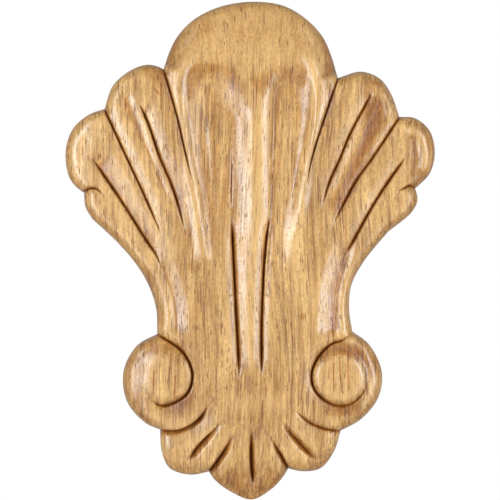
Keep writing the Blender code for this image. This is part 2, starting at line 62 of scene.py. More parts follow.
def hollow(loop, depth, wall, glazeAndShade):
    # A shallow hollow in a loop: the width of its wall, and the glaze and painted shade it holds beyond its
    # depth's.
    return {"loop": loop, "depth": depth, "wall": wall, "glazeAndShade": glazeAndShade}


# The carved face, in millimetres from the middle of the flat back: x to the right, z up.
applique = {
    "name": "carvedApplique",
    "rimHeight": 9.0,
    "lowestCut": 5.0,
    "backEase": 0.5,          # the rounding where the side wall meets the back
    "backBevel": 0.3,         # how far its middle stands off the corner, as a share of it
    "crown": [(-96.0, 10.2), (-90.0, 12.2), (-82.0, 14.6), (-72.0, 16.6), (-60.0, 17.8), (-40.0, 18.4),
        (0.0, 18.8), (40.0, 19.0), (62.0, 18.6), (72.0, 17.8), (82.0, 16.2), (90.0, 14.6), (96.0, 13.0)],
    "fanFall": (4.4, 72.0, 1.8),  # drop, half width and power of the fall to both sides
    "footFall": (2.2, 42.0, 2.0),
    "footToFan": (-60.0, 10.0),
    "rollWidth": 5.0,
    "rollPower": 2.7,
    "handWobble": 0.05,       # unevenness left by the gouge
    # Painted shade: a thin dark line along the rim, and its width.
    "rimShade": 0.5,
    "rimShadeWidth": 0.5,
    "stainAndShadePower": 1.5,        # how closely the dark stain and painted shade keep to the bottom of a cut
    "fullStainAndShadeDepth": 0.9,    # a cut this deep is stained and shaded in full
    "glazeFade": (0.2, 1.3),  # shares of its half width between which a place of glaze, painted shade and painted light fades out
    "fullHollow": 0.7,        # a point this far under the carving around it holds the most glaze and painted shade
    "overShade": 0.5,         # the dark stain and painted shade that each further unit of glaze and painted shade leaves
    # Where the glaze lies thicker, at knots and as painted shade, and thinner, below zero, as painted
    # light: a path, a half width and a strength.
    "glazeShadeAndLight": {
        "leftKnot": ([(-22.2, -6.2), (-21.4, -6.8)], 2.6, 1.0),
        "rightKnot": ([(19.1, -25.2), (19.5, -25.2)], 1.5, 1.2),
        "topLobe": ([(-21.5, 82.0), (-18.0, 85.0)], 4.5, 0.7),
        "leftArch": ([(-24.6, 60.0), (-23.0, 65.5), (-17.0, 68.6), (-10.0, 67.4), (-5.0, 62.0)], 3.8, 1.1),
        "betweenArches": ([(2.0, 64.5), (4.2, 60.5)], 3.2, 1.2),
        "rightArch": ([(6.0, 64.5), (12.0, 68.0), (19.0, 66.0)], 3.6, 1.1),
        "leftNotch": ([(-38.5, 68.5), (-34.5, 65.5)], 4.0, 1.0),
        "rightPetalTop": ([(43.5, 64.6), (48.5, 63.0)], 2.6, 0.7),
        "leftVoluteTop": ([(-40.0, -37.5), (-33.0, -37.5), (-27.5, -41.5)], 3.4, 1.5),
        "leftVoluteFoot": ([(-29.0, -60.5), (-25.5, -57.5)], 3.2, 1.4),
        "rightVoluteTop": ([(27.5, -40.0), (33.5, -37.8), (40.0, -39.2)], 3.2, 1.8),
        "rightVoluteSide": ([(43.6, -41.0), (46.0, -46.0)], 3.4, 1.0),
        "rightVoluteFoot": ([(30.5, -60.8), (39.0, -60.6)], 3.2, 1.6),
        "tip": ([(-8.0, -86.0), (0.0, -91.5), (8.0, -86.0)], 6.0, 1.0),
        "rightPetal": ([(46.8, 54.6), (46.4, 48.0), (43.0, 40.0), (38.6, 29.0), (32.8, 17.4)], 3.8, 2.3),
        "rightWaist": ([(34.0, -6.0), (32.4, -16.0), (32.2, -28.0)], 2.4, 0.9),
        "lightFlute": ([(13.5, 44.0), (12.5, 20.0), (14.0, 2.0)], 5.0, -0.7),
        "lightBody": ([(17.0, 2.0), (16.5, -20.0)], 4.5, -0.4),
        "lightFoot": ([(-8.0, -58.0), (10.0, -58.0)], 5.0, -0.6),
        "lightLobe": ([(-14.0, 76.0), (14.0, 74.0)], 5.0, -0.4),
    },
    # The drying checks along the grain that stand out.
    "checks": [
        [(-34.4, 63.0), (-34.2, 53.5)], [(-37.1, 61.7), (-34.6, 58.8)],
        [(31.1, -43.2), (31.2, -53.6)], [(33.4, -40.8), (33.6, -46.8), (34.6, -54.4)],
        [(36.6, -39.8), (36.8, -52.8)], [(-37.1, -46.0), (-37.3, -54.8)],
        [(-30.5, -39.5), (-31.4, -49.0)], [(-28.9, -47.8), (-29.3, -56.4)],
        [(23.6, -56.0), (23.7, -65.5)], [(4.2, -57.5), (3.7, -68.0)],
    ],
    "checkDepth": 0.05,
    "checkHalfWidth": 0.46,
    "checkStain": 1.15,
    # The outline runs clockwise from the left notch under the top lobe.
    "outline": {
        "topLobe": [(-33.6, 69.1), (-31.6, 75.3), (-28.3, 81.7), (-21.7, 88.2), (-12.0, 92.9),
            (0.2, 94.8), (12.1, 93.3), (20.6, 88.4), (27.2, 81.6), (30.5, 74.4)],
        "rightUpperPetal": [(33.0, 65.7), (41.8, 68.1), (48.7, 65.6), (53.0, 60.2)],
        "rightOuterPetal": [(56.5, 50.9), (62.5, 50.3), (68.1, 45.4), (70.0, 37.1), (68.1, 29.3)],
        "rightCurl": [(62.6, 23.5), (63.4, 19.1), (61.2, 14.5)],
        "rightWaist": [(52.1, 6.9), (42.8, -4.5), (38.1, -13.6), (37.3, -22.9)],
        "rightVolute": [(38.5, -31.1), (45.0, -36.2), (49.8, -46.6), (48.4, -56.4), (41.9, -64.5)],
        "rightFoot": [(34.1, -69.0), (31.5, -76.9), (26.4, -83.3), (19.7, -84.5)],
        "tip": [(14.1, -83.5), (11.3, -87.6), (7.6, -91.3), (0.2, -95.3), (-7.9, -92.3), (-13.5, -88.3)],
        "leftFoot": [(-16.4, -84.7), (-23.5, -85.8), (-31.2, -83.3), (-34.2, -77.2)],
        "leftVolute": [(-35.0, -68.6), (-40.5, -66.0), (-47.5, -58.1), (-48.9, -46.3), (-43.8, -36.6)],
        "leftWaist": [(-36.0, -32.1), (-36.5, -22.1), (-39.2, -13.8), (-43.5, -6.2), (-50.6, 2.3)],
        "leftCurl": [(-60.9, 12.0), (-63.4, 16.5)],
        "leftOuterPetal": [(-64.0, 21.8), (-67.4, 24.5), (-70.0, 28.7), (-71.0, 38.2), (-68.3, 46.2),
            (-62.4, 51.5)],
        "leftUpperPetal": [(-56.2, 53.9), (-52.9, 62.7), (-47.0, 68.1), (-40.3, 70.7), (-36.5, 70.3)],
    },
    # The sunk ground of the two flutes, with twin arches at the top, and the rib left between them.
    "flutes": [(-14.7, -19.1), (-21.6, 13.4), (-25.0, 42.0), (-25.6, 58.5), (-23.1, 66.3), (-14.7, 71.1),
        (-5.5, 66.1), (0.2, 58.4), (5.2, 64.9), (13.9, 69.9), (22.7, 64.9), (24.6, 54.0), (23.1, 40.1),
        (18.1, 13.4), (11.7, -19.1)],
    "fluteDepth": [(-40.0, 0.0), (-30.0, 0.1), (-15.0, 0.5), (0.0, 1.4), (14.0, 2.3), (30.0, 2.9),
        (48.0, 3.3), (57.0, 3.1), (66.0, 2.4), (80.0, 1.9)],
    # Level, width of the left wall, width of the right wall
    "fluteWall": [(-20.0, 8.0, 6.0), (30.0, 10.0, 6.2), (52.0, 12.5, 7.0), (60.0, 13.0, 8.0),
        (75.0, 12.0, 9.0)],
    # Level, left foot, left brow, right brow, right foot
    "rib": [(-50.0, -4.4, 1.2, 1.8, 4.2), (-19.0, -6.0, 0.8, 2.4, 5.4), (13.0, -7.4, 0.4, 3.2, 7.4),
        (46.0, -7.2, 0.2, 3.4, 8.2), (56.0, -7.6, 0.2, 3.4, 8.4), (62.0, -11.0, 0.2, 3.2, 8.6),
        (70.0, -16.0, 0.2, 3.0, 9.0)],
    "wallRound": 0.5,         # share of a flute's wall that is round at its top, not eased
    "ribEase": 0.25,          # share of the rib that is eased
    "ribHollow": 1.4,         # the left slope of the rib is a little hollow at its foot
    "ribRound": 0.55,         # the right one is round, and steepest at its foot
    "hollows": {
        "leftUpperPetal": hollow([(-50.6, 57.3), (-48.9, 60.2), (-46.0, 60.4), (-44.0, 58.0),
            (-42.0, 53.5), (-39.4, 47.6), (-35.3, 35.4), (-30.0, 22.0), (-28.1, 15.0), (-35.0, 21.0),
            (-39.5, 31.3), (-44.1, 40.1), (-47.9, 47.8), (-50.8, 53.0)],
            0.8, 3.8, 0.5),
        "leftOuterPetal": hollow([(-67.4, 39.7), (-65.5, 43.2), (-62.1, 44.3), (-59.4, 41.6),
            (-59.8, 37.1), (-62.5, 33.2), (-65.9, 33.2), (-67.4, 35.9)],
            0.25, 3.4, 0.1),
        "rightUpperPetal": hollow([(46.0, 58.8), (47.2, 60.7), (49.9, 60.0), (52.1, 56.9), (53.3, 52.7),
            (52.1, 48.1), (47.6, 41.3), (42.2, 33.2), (37.6, 24.8), (35.2, 22.0), (35.6, 30.6),
            (38.6, 39.0), (42.2, 49.7)],
            0.5, 4.2, 0.4),
        "rightOuterPetal": hollow([(58.3, 41.3), (60.5, 44.3), (64.0, 43.5), (65.9, 39.7), (66.3, 34.4),
            (64.7, 29.4), (60.9, 26.4), (56.3, 22.9), (53.7, 25.2), (56.7, 30.6), (58.6, 36.3)],
            0.35, 4.8, 0.1),
    },
    # The eyes of the volutes: centre, radius of top and foot, height.
    "eyes": [((-31.4, -48.2), 7.0, 13.0, 1.4), ((33.8, -48.6), 7.6, 11.6, 1.3)],
    "fadedWidth": 0.4,        # a cut is this share of its full width where it has faded out
    "swells": {
        # The borders of the flutes, and low waves in their ground.
        "leftBorder": swell([(-18.5, 76.5), (-23.6, 72.5), (-26.8, 66.5), (-27.4, 58.0), (-26.0, 48.0),
            (-23.8, 33.0), (-20.6, 18.0), (-17.4, -6.5)],
            1.0, 3.0, 4.2, (8.0, 6.0)),
        "rightBorder": swell([(16.5, 77.5), (21.6, 73.0), (24.4, 66.5), (25.2, 57.0), (22.9, 40.0),
            (19.5, 25.0), (17.2, 4.0)],
            1.0, 4.2, 3.6, (8.0, 18.0)),
        "leftWave": swell([(-18.2, 52.0), (-17.0, 36.0), (-13.5, 15.0), (-11.5, 0.0)],
            0.35, 2.2, 2.2, (10.0, 12.0)),
        "rightWave": swell([(13.4, 55.0), (13.2, 30.0), (15.0, 8.0), (17.5, -20.0)],
            0.15, 3.6, 3.0, (10.0, 14.0)),
        # The crests round the hollows of the right petals.
        "rightUpperCrest": swell([(48.4, 61.0), (51.2, 58.2), (53.0, 52.0), (54.6, 48.4)],
            0.6, 2.4, 3.0, (3.0, 4.0)),
        "rightOuterCrest": swell([(58.2, 44.4), (61.0, 45.2), (64.2, 43.0), (65.8, 38.6), (66.4, 33.0),
            (65.0, 27.8)],
            1.0, 4.0, 3.6, (3.0, 4.0)),
    },
    "slopes": {
        # Shallow hollows that carry the outermost cuts on down the waist.
        "leftWaist": slope([(-37.0, 0.5), (-33.4, -7.0), (-30.6, -14.5), (-29.0, -21.0), (-28.4, -35.0)],
            1.6, (5.0, 1.15), (4.2, 1.1), (12.0, 7.0)),
        "rightWaist": slope([(41.0, 8.0), (37.6, 1.5), (34.6, -5.5), (32.8, -12.0), (31.6, -20.0),
            (30.8, -35.0)],
            2.5, (4.2, 1.6), (6.4, 1.1), (14.0, 6.0)),
        # Rounder stretches of the rim: the left waist and both sides of the top lobe.
        "leftWaistRim": slope([(-43.5, -6.2), (-39.2, -13.8), (-36.5, -22.1), (-36.0, -32.1)],
            1.9, (7.0, 1.2), (7.0, 1.2), (8.0, 6.0)),
        "leftLobeRim": slope([(-33.6, 69.1), (-31.6, 75.3), (-28.3, 81.7), (-22.0, 88.0)],
            3.2, (8.0, 1.5), (8.0, 1.5), (3.0, 12.0)),
        "rightLobeRim": slope([(33.0, 65.7), (30.5, 74.4), (27.2, 81.6), (20.6, 88.4)],
            3.6, (8.4, 1.5), (8.4, 1.5), (3.0, 12.0)),
        "leftPetalRim": slope([(-64.0, 21.8), (-70.0, 28.7), (-71.0, 38.2), (-68.3, 46.2), (-62.4, 51.5)],
            1.2, (9.0, 1.4), (9.0, 1.4), (8.0, 8.0)),
        "leftVoluteRim": slope([(-40.5, -66.0), (-47.5, -58.1), (-48.9, -46.3), (-43.8, -36.6)],
            1.3, (8.0, 1.4), (8.0, 1.4), (8.0, 7.0)),
        "rightVoluteRim": slope([(45.0, -36.2), (49.8, -46.6), (48.4, -56.4), (41.9, -64.5)],
            0.8, (7.0, 1.4), (7.0, 1.4), (8.0, 8.0)),
        # The soft valley over the top and down the outer side of the right eye.
        "rightEye": slope([(29.0, -38.6), (34.0, -37.2), (39.0, -38.6), (42.6, -42.6), (44.0, -48.0),
            (42.4, -53.5)],
            0.5, (4.2, 1.6), (4.2, 1.6), (8.0, 8.0)),
    },
    "cuts": {
        # The fan: cuts 1 and 3 part the petals, 2 and 4 run down the middle of a petal.
        "left1": cut([(-33.6, 69.1), (-28.5, 51.6), (-23.9, 31.5), (-21.4, 22.0)],
            1.5, (0.6, 0.5), (2.6, 0.3, 2.0), (4.5, 0.9, 1.6), (0.0, 18.0)),
        "left2": cut([(-43.5, 57.3), (-39.4, 48.0), (-35.2, 35.8), (-29.7, 22.4), (-24.3, 3.8)],
            1.2, (0.8, 0.7), (6.0, 1.4, 1.4), (1.6, 0.4, 2.0), (7.0, 18.0)),
        "left3": cut([(-56.2, 53.9), (-47.3, 34.6), (-41.3, 21.8), (-37.0, 12.1), (-32.3, 1.1)],
            1.4, (0.6, 0.6), (4.6, 1.3, 1.4), (4.0, 0.8, 2.0), (0.0, 20.0)),
        "left4": cut([(-61.3, 35.7), (-49.1, 17.8), (-40.3, 3.9), (-35.9, -2.8), (-33.0, -11.5)],
            1.1, (0.7, 0.7), (8.0, 1.8, 1.25), (2.2, 0.6, 2.0), (6.0, 16.0)),
        "leftCurl": cut([(-64.0, 21.8), (-62.3, 23.2), (-59.4, 23.4), (-55.6, 20.4)],
            1.2, (0.6, 0.6), (2.0, 0.2, 2.0), (3.5, 0.9, 2.0), (0.0, 5.0)),
        "right1": cut([(33.0, 65.7), (25.6, 43.7), (22.9, 34.6), (20.4, 21.8)],
            1.4, (0.5, 0.6), (4.0, 0.9, 1.6), (2.8, 0.4, 2.0), (0.0, 16.0)),
        "right2": cut([(46.6, 61.3), (37.2, 43.7), (33.5, 34.6), (29.9, 26.7), (26.0, 13.8)],
            1.3, (0.8, 0.6), (3.6, 1.4, 1.1), (5.0, 0.9, 1.5), (6.0, 14.0)),
        "right3": cut([(56.5, 50.9), (45.7, 34.6), (39.6, 26.1), (33.5, 14.5), (29.5, 6.5)],
            1.6, (0.8, 0.6), (4.0, 0.9, 1.6), (4.4, 0.9, 2.0), (0.0, 16.0)),
        "right4": cut([(59.8, 36.7), (55.2, 30.6), (47.7, 19.5), (39.5, 5.0), (34.0, -5.5),
            (32.4, -11.0)],
            1.7, (1.0, 0.7), (3.4, 0.6, 1.6), (4.6, 1.0, 1.6), (8.0, 16.0)),
        "rightCurl": cut([(62.6, 23.5), (60.2, 24.5), (57.4, 23.1), (54.8, 21.6)],
            1.2, (0.6, 0.6), (3.5, 1.0, 2.0), (2.0, 0.2, 2.0), (0.0, 5.0)),
        # The long V cuts that carry on down from the feet of the rib.
        "leftLong": cut([(-7.8, 13.8), (-6.3, -17.6), (-4.7, -50.8)],
            1.8, (1.3, 0.6), (4.8, 1.5, 1.1), (3.0, 1.1, 1.2), (10.0, 12.0)),
        "rightLong": cut([(7.1, 14.5), (5.5, 1.9), (4.2, -22.0), (3.9, -49.3)],
            1.8, (0.6, 1.0), (2.8, 1.0, 1.2), (3.7, 1.4, 1.1), (10.0, 10.0)),
        # The thin dark lines that run up the feet of the rib.
        "leftRibFoot": cut([(-7.4, 50.0), (-7.6, 32.0), (-7.8, 13.8)],
            0.6, (0.4, 0.5), (0.8, 0.0, 1.0), (0.8, 0.0, 1.0), (26.0, 6.0)),
        "rightRibFoot": cut([(8.0, 40.0), (7.7, 26.0), (7.1, 14.5)],
            0.5, (0.5, 0.4), (0.8, 0.0, 1.0), (0.8, 0.0, 1.0), (22.0, 6.0)),
        # The spiral creases round the eyes of the volutes.
        "leftVolute": cut([(-36.0, -32.1), (-26.9, -38.2), (-23.7, -43.2), (-22.6, -48.1), (-24.3, -54.1),
            (-28.1, -57.3), (-33.8, -59.2), (-39.9, -56.3)],
            1.8, (0.9, 0.6), (6.0, 1.3, 2.0), (3.0, 0.8, 2.0), (0.0, 8.0)),
        "rightVolute": cut([(38.5, -31.1), (35.0, -34.2), (30.4, -35.9), (25.4, -40.9), (23.0, -47.0),
            (23.9, -52.7), (28.1, -57.3), (33.8, -59.4), (39.2, -57.7), (43.7, -52.0), (44.1, -44.3)],
            1.8, (0.6, 0.8), (3.0, 0.8, 2.0), (5.0, 1.0, 2.0), (8.0, 26.0)),
        # The foot: cuts fanning out between the volutes, steep on their outer sides.
        "leftFoot1": cut([(-15.9, -57.8), (-17.8, -61.1), (-20.1, -64.2), (-23.5, -66.9), (-28.5, -68.8),
            (-35.0, -68.6)],
            1.9, (1.5, 0.6), (8.0, 1.7, 1.5), (2.0, 0.3, 2.0), (8.0, 0.0)),
        "leftFoot2": cut([(-10.3, -64.4), (-14.7, -68.8), (-18.1, -72.2), (-21.2, -75.6), (-24.4, -81.0)],
            2.3, (2.3, 0.7), (4.4, 1.0, 1.4), (1.5, 0.2, 2.0), (12.0, 5.0)),
        "leftFoot3": cut([(-6.1, -68.8), (-8.6, -73.0), (-11.3, -77.5), (-16.4, -84.7)],
            2.3, (2.2, 0.7), (4.8, 1.1, 1.4), (1.5, 0.2, 2.0), (10.0, 0.0)),
        "middleFoot": cut([(0.0, -66.8), (-0.2, -72.6), (-0.2, -80.2), (0.6, -90.5)],
            2.6, (1.7, 0.8), (2.2, 0.5, 1.5), (3.2, 0.8, 1.4), (9.0, 6.0)),
        "rightFoot3": cut([(7.0, -70.5), (9.4, -74.9), (11.7, -78.7), (14.1, -83.5)],
            2.1, (0.8, 1.5), (1.8, 0.3, 1.5), (3.4, 0.9, 1.4), (8.0, 0.0)),
        "rightFoot2": cut([(10.5, -64.3), (14.1, -68.9), (17.9, -73.1), (21.8, -77.3), (26.4, -81.0)],
            2.3, (1.6, 1.5), (2.6, 0.5, 1.5), (3.4, 0.8, 1.4), (11.0, 8.0)),
        "rightFoot1": cut([(15.3, -60.2), (19.3, -63.4), (23.1, -66.1), (28.1, -68.0), (34.1, -69.0)],
            1.4, (0.6, 1.0), (2.2, 0.4, 1.5), (3.0, 0.8, 1.5), (9.0, 0.0)),
    },
}

# How finely the face is divided, in millimetres.
detail = {
    "lattice": 0.55,
    "outline": 0.7,
    "line": 0.6,
    "rings": (0.04, 0.14, 0.32, 0.6, 1.0, 1.5, 2.1),
    "lineGap": 0.25,
    "latticeGap": 0.34,
    "arrisGap": 0.3,     # the arrises of the cuts stop this far from the rim
    "sharpAngle": math.radians(80.0),
    "averageRounds": 60,
    "rimCurve": 0.5,     # steps of the curves that heights are measured from
    "loopCurve": 0.8,
    "pathCurve": 0.6,
    "tableCurve": 1.0,
    "longestEdge": 2.0,  # in steps of a line
    "apart": 0.8,        # gap of the points of a check or ring, in its widths or depths
    "ringClear": 0.9,    # a ring leaves out points nearer the rim than this share of its depth
    "reach": 12.0,       # no cut, swell or glaze reaches this far from its path
    "batch": 20000,      # points measured at a time
}


def smoothStep(value, low, high):
    if high <= low:
        return np.ones_like(value)
    t = np.clip((value - low) / (high - low), 0.0, 1.0)
    return t * t * (3.0 - 2.0 * t)


def smoothCurve(points, step):
    # Points at about one step along a centripetal Catmull-Rom curve.
    knots = [np.array(point, dtype=float) for point in points]
    knots = [2 * knots[0] - knots[1]] + knots + [2 * knots[-1] - knots[-2]]
    curve = []
    for p0, p1, p2, p3 in zip(knots, knots[1:], knots[2:], knots[3:]):
        count = max(1, round(np.linalg.norm(p2 - p1) / step))
        t1 = math.sqrt(np.linalg.norm(p1 - p0))
        t2 = t1 + math.sqrt(np.linalg.norm(p2 - p1))
        t3 = t2 + math.sqrt(np.linalg.norm(p3 - p2))
        for k in range(count):
            t = t1 + (t2 - t1) * k / count
            a1 = ((t1 - t) * p0 + t * p1) / t1
            a2 = ((t2 - t) * p1 + (t - t1) * p2) / (t2 - t1)
            a3 = ((t3 - t) * p2 + (t - t2) * p3) / (t3 - t2)
            b1 = ((t2 - t) * a1 + t * a2) / t2
            b2 = ((t3 - t) * a2 + (t - t1) * a3) / (t3 - t1)
            curve.append(((t2 - t) * b1 + (t - t1) * b2) / (t2 - t1))
    curve.append(knots[-2])
    return np.array(curve)


def outlineLoop(step):
    # The whole outline as one closed loop; every notch is one of its points.
    runs = list(applique["outline"].values())
    loop = []
    for run, following in zip(runs, runs[1:] + runs[:1]):
        loop.extend(smoothCurve(run + following[:1], step)[:-1])
    return np.array(loop)


def measureTo(points, line, closed=False):
    # Distance to a line, the side (+1 is right of travel), the place along it, and its length.
    count = len(line)
    after = np.roll(line, -1, axis=0) if closed else np.vstack([line[1:], 2 * line[-1:] - line[-2:-1]])
    spans = after - line
    lengths = np.linalg.norm(spans, axis=1)
    along = spans / lengths[:, None]
    starts = np.concatenate([[0.0], np.cumsum(lengths)])
    total = starts[-1] if closed else starts[count - 1]
    squares = (line * line).sum(axis=1)
    batches = np.array_split(points, 1 + len(points) // detail["batch"])
    nearest = np.concatenate([(squares - 2.0 * batch @ line.T).argmin(axis=1) for batch in batches])
    distance = np.full(len(points), np.inf)
    side = np.ones(len(points))
    place = np.zeros(len(points))
    for offset in (-1, 0):
        k = (nearest + offset) % count if closed else np.clip(nearest + offset, 0, count - 2)
        toPoint = points - line[k]
        reach = np.clip((toPoint * along[k]).sum(axis=1), 0.0, lengths[k])
        away = np.linalg.norm(toPoint - reach[:, None] * along[k], axis=1)
        turn = along[k, 0] * toPoint[:, 1] - along[k, 1] * toPoint[:, 0]
        closer = away < distance
        distance = np.where(closer, away, distance)
        side = np.where(closer, np.where(turn < 0.0, 1.0, -1.0), side)
        place = np.where(closer, starts[k] + reach, place)
    return distance, side, place, total


def measurePath(points, path):
    # The same for the points within reach of a path; the others count as far away.
    line = smoothCurve(path, detail["pathCurve"])
    reach = detail["reach"]
    near = ((points > line.min(axis=0) - reach) & (points < line.max(axis=0) + reach)).all(axis=1)
    distance = np.full(len(points), np.inf)
    side = np.ones(len(points))
    place = np.zeros(len(points))
    distance[near], side[near], place[near], total = measureTo(points[near], line)
    return distance, side, place, total


def insideLoop(points, loop):
    x, z = points[:, 0], points[:, 1]
    result = np.zeros(len(points), dtype=bool)
    for (x1, z1), (x2, z2) in zip(loop, np.roll(loop, -1, axis=0)):
        crosses = (z1 > z) != (z2 > z)
        if crosses.any():
            result ^= crosses & (x < (x2 - x1) * (z - z1) / (z2 - z1 + 1e-12) + x1)
    return result


def tableValue(table, value, column=1):
    # One column of a table of (place, sizes) as a smooth curve.
    curve = smoothCurve([(row[0], row[column]) for row in table], detail["tableCurve"])
    return np.interp(value, curve[:, 0], curve[:, 1])


def fadeAlong(spec, place, total):
    start, end = spec["fade"]
    return smoothStep(place, 0.0, start) * (1.0 - smoothStep(place, total - end, total) * (end > 0.0))


def cutDepth(spec, distance, side, place, total):
    # The depth of the valley and of its shoulders, which meet at the lower one's depth.
    strength = fadeAlong(spec, place, total)
    right = side > 0.0
    faded = applique["fadedWidth"]
    valley = np.where(right, spec["valley"][1], spec["valley"][0]) * (faded + (1.0 - faded) * strength)
    width, drop, power = (np.where(right, *pair) for pair in zip(spec["right"], spec["left"]))
    wall = np.clip(1.0 - distance / valley, 0.0, 1.0)
    lower = max(spec["left"][1], spec["right"][1])
    shoulder = drop * np.clip(1.0 - distance / width, 0.0, 1.0) ** power + (lower - drop) * wall
    return strength * spec["depth"] * wall, strength * shoulder


def slopeDepth(spec, distance, side, place, total):
    width, power = (np.where(side > 0.0, *pair) for pair in zip(spec["right"], spec["left"]))
    return spec["drop"] * fadeAlong(spec, place, total) * np.clip(1.0 - distance / width, 0.0, 1.0) ** power


def swellHeight(spec, distance, side, place, total):
    width = np.where(side > 0.0, spec["right"], spec["left"])
    across = np.clip(distance / width, 0.0, 1.0)
    return spec["height"] * fadeAlong(spec, place, total) * (1.0 - across ** 2) ** 2


def crownHeight(x, z):
    # The broad swell of the board: highest down the middle, falling to the sides.
    fan = smoothStep(z, *applique["footToFan"])
    drop, halfWidth, power = applique["fanFall"]
    fanDrop = drop * (np.abs(x) / halfWidth) ** power
    drop, halfWidth, power = applique["footFall"]
    footDrop = drop * (np.abs(x) / halfWidth) ** power
    return tableValue(applique["crown"], z) - fan * fanDrop - (1.0 - fan) * footDrop


def fluteDepth(points):
    # The twin flutes, less the rib that stands between them.
    x, z = points[:, 0], points[:, 1]
    loop = smoothCurve(applique["flutes"], detail["loopCurve"])
    distance = measureTo(points, loop, closed=True)[0]
    leftWall, rightWall = (tableValue(applique["fluteWall"], z, k) for k in (1, 2))
    wall = np.clip(distance / np.where(x < 0.0, leftWall, rightWall), 0.0, 1.0)
    wallRound = applique["wallRound"]
    wall = (1.0 - wallRound) * smoothStep(wall, 0.0, 1.0) + wallRound * (1.0 - (1.0 - wall) ** 2)
    ground = np.where(insideLoop(points, loop), wall, 0.0)
    leftFoot, leftBrow, rightBrow, rightFoot = (tableValue(applique["rib"], z, k) for k in (1, 2, 3, 4))
    leftSlope = np.clip((x - leftFoot) / (leftBrow - leftFoot), 0.0, 1.0) ** applique["ribHollow"]
    rightSlope = np.clip((rightFoot - x) / (rightFoot - rightBrow), 0.0, 1.0) ** applique["ribRound"]
    rib = np.minimum(leftSlope, rightSlope)
    rib = (1.0 - applique["ribEase"]) * rib + applique["ribEase"] * smoothStep(rib, 0.0, 1.0)
    return tableValue(applique["fluteDepth"], z) * ground * (1.0 - rib)


def hollowDepth(points, spec):
    # One shallow hollow with soft walls, and the extra glaze and painted shade it holds.
    loop = smoothCurve(spec["loop"], detail["loopCurve"])
    inside = np.where(insideLoop(points, loop), measureTo(points, loop, closed=True)[0], 0.0)
    share = smoothStep(inside, 0.0, spec["wall"])
    return spec["depth"] * share, spec["glazeAndShade"] * share


def handWobble(x, z):
    # Slow unevenness of the hand work, the same each time.
    waves = [(0.31, 0.12, 0.4), (-0.22, 0.27, 1.9), (0.52, -0.18, 3.1), (0.11, 0.45, 4.4),
             (-0.61, 0.21, 5.2)]
    return sum(np.sin(a * x + b * z + c) for a, b, c in waves) / len(waves)


def relief(points):
    # Height of the face above the back, the carving alone, and of each point the glaze with painted shade
    # and light and the dark stain with painted shade.
    x, z = points[:, 0], points[:, 1]
    rimDistance = measureTo(points, outlineLoop(detail["rimCurve"]), closed=True)[0]
    t = 1.0 - np.clip(rimDistance / applique["rollWidth"], 0.0, 1.0)
    roll = 1.0 - (1.0 - t ** applique["rollPower"]) ** (1.0 / applique["rollPower"])
    crown = crownHeight(x, z) + applique["handWobble"] * handWobble(x, z)
    flute = fluteDepth(points)
    groove = np.zeros(len(points))
    deepest = np.zeros(len(points))
    # The dark stain in the bottom of each cut is also painted shade.
    for spec in applique["cuts"].values():
        valley, shoulder = cutDepth(spec, *measurePath(points, spec["path"]))
        full = min(1.0, spec["depth"] / applique["fullStainAndShadeDepth"])
        groove = np.maximum(groove, (valley / spec["depth"]) ** applique["stainAndShadePower"] * full)
        deepest = np.maximum(deepest, valley + shoulder)
    for spec in applique["slopes"].values():
        deepest = np.maximum(deepest, slopeDepth(spec, *measurePath(points, spec["path"])))
    raised = np.zeros(len(points))
    for spec in applique["swells"].values():
        raised += swellHeight(spec, *measurePath(points, spec["path"]))
    dished = np.zeros(len(points))
    glazeAndShade = np.zeros(len(points))
    for spec in applique["hollows"].values():
        depth, held = hollowDepth(points, spec)
        dished += depth
        glazeAndShade = np.maximum(glazeAndShade, held)
    # Glaze along the listed paths: painted shade, and painted light where it is below zero.
    inner, outer = applique["glazeFade"]
    for path, halfWidth, strength in applique["glazeShadeAndLight"].values():
        distance = measurePath(points, path)[0]
        glazeAndShade += strength * (1.0 - smoothStep(distance, inner * halfWidth, outer * halfWidth))
    for path in applique["checks"]:
        distance = measurePath(points, path)[0]
        check = np.clip(1.0 - distance / applique["checkHalfWidth"], 0.0, 1.0)
        deepest = deepest + applique["checkDepth"] * check
        groove = np.maximum(groove, applique["checkStain"] * check)
    for (eyeX, eyeZ), topRadius, footRadius, rise in applique["eyes"]:
        raised += rise * (1.0 - smoothStep(np.hypot(x - eyeX, z - eyeZ), topRadius, footRadius))
    top = crown + raised
    carved = raised - flute - dished - deepest
    height = top - (top - applique["rimHeight"]) * roll - flute - dished - deepest
    # A thin dark line of painted shade along the rim.
    edge = applique["rimShade"] * (1.0 - smoothStep(rimDistance, 0.0, applique["rimShadeWidth"]))
    return np.maximum(height, applique["lowestCut"]), carved, glazeAndShade, np.maximum(groove, edge)


def hollowness(carved, triangles):
    # How far each point lies under (+) or over (-) the average of the carving around it.
    corners = np.array([tuple(triangle) for triangle in triangles])
    ends = np.vstack([corners[:, (0, 1)], corners[:, (1, 2)], corners[:, (2, 0)]])
    count = np.bincount(ends.ravel(), minlength=len(carved))
    average = carved.copy()
    for _ in range(detail["averageRounds"]):
        total = np.bincount(ends[:, 0], average[ends[:, 1]], len(carved))
        total += np.bincount(ends[:, 1], average[ends[:, 0]], len(carved))
        average = total / count
    return average - carved


def leftNormals(line, closed=False):
    if closed:
        ways = np.roll(line, -1, axis=0) - np.roll(line, 1, axis=0)
    else:
        ways = np.gradient(line, axis=0)
    ways = ways / np.linalg.norm(ways, axis=1)[:, None]
    return np.stack([-ways[:, 1], ways[:, 0]], axis=1)


def clearOfRim(points, loop, clearance):
    return insideLoop(points, loop) & (measureTo(points, loop, closed=True)[0] > clearance)


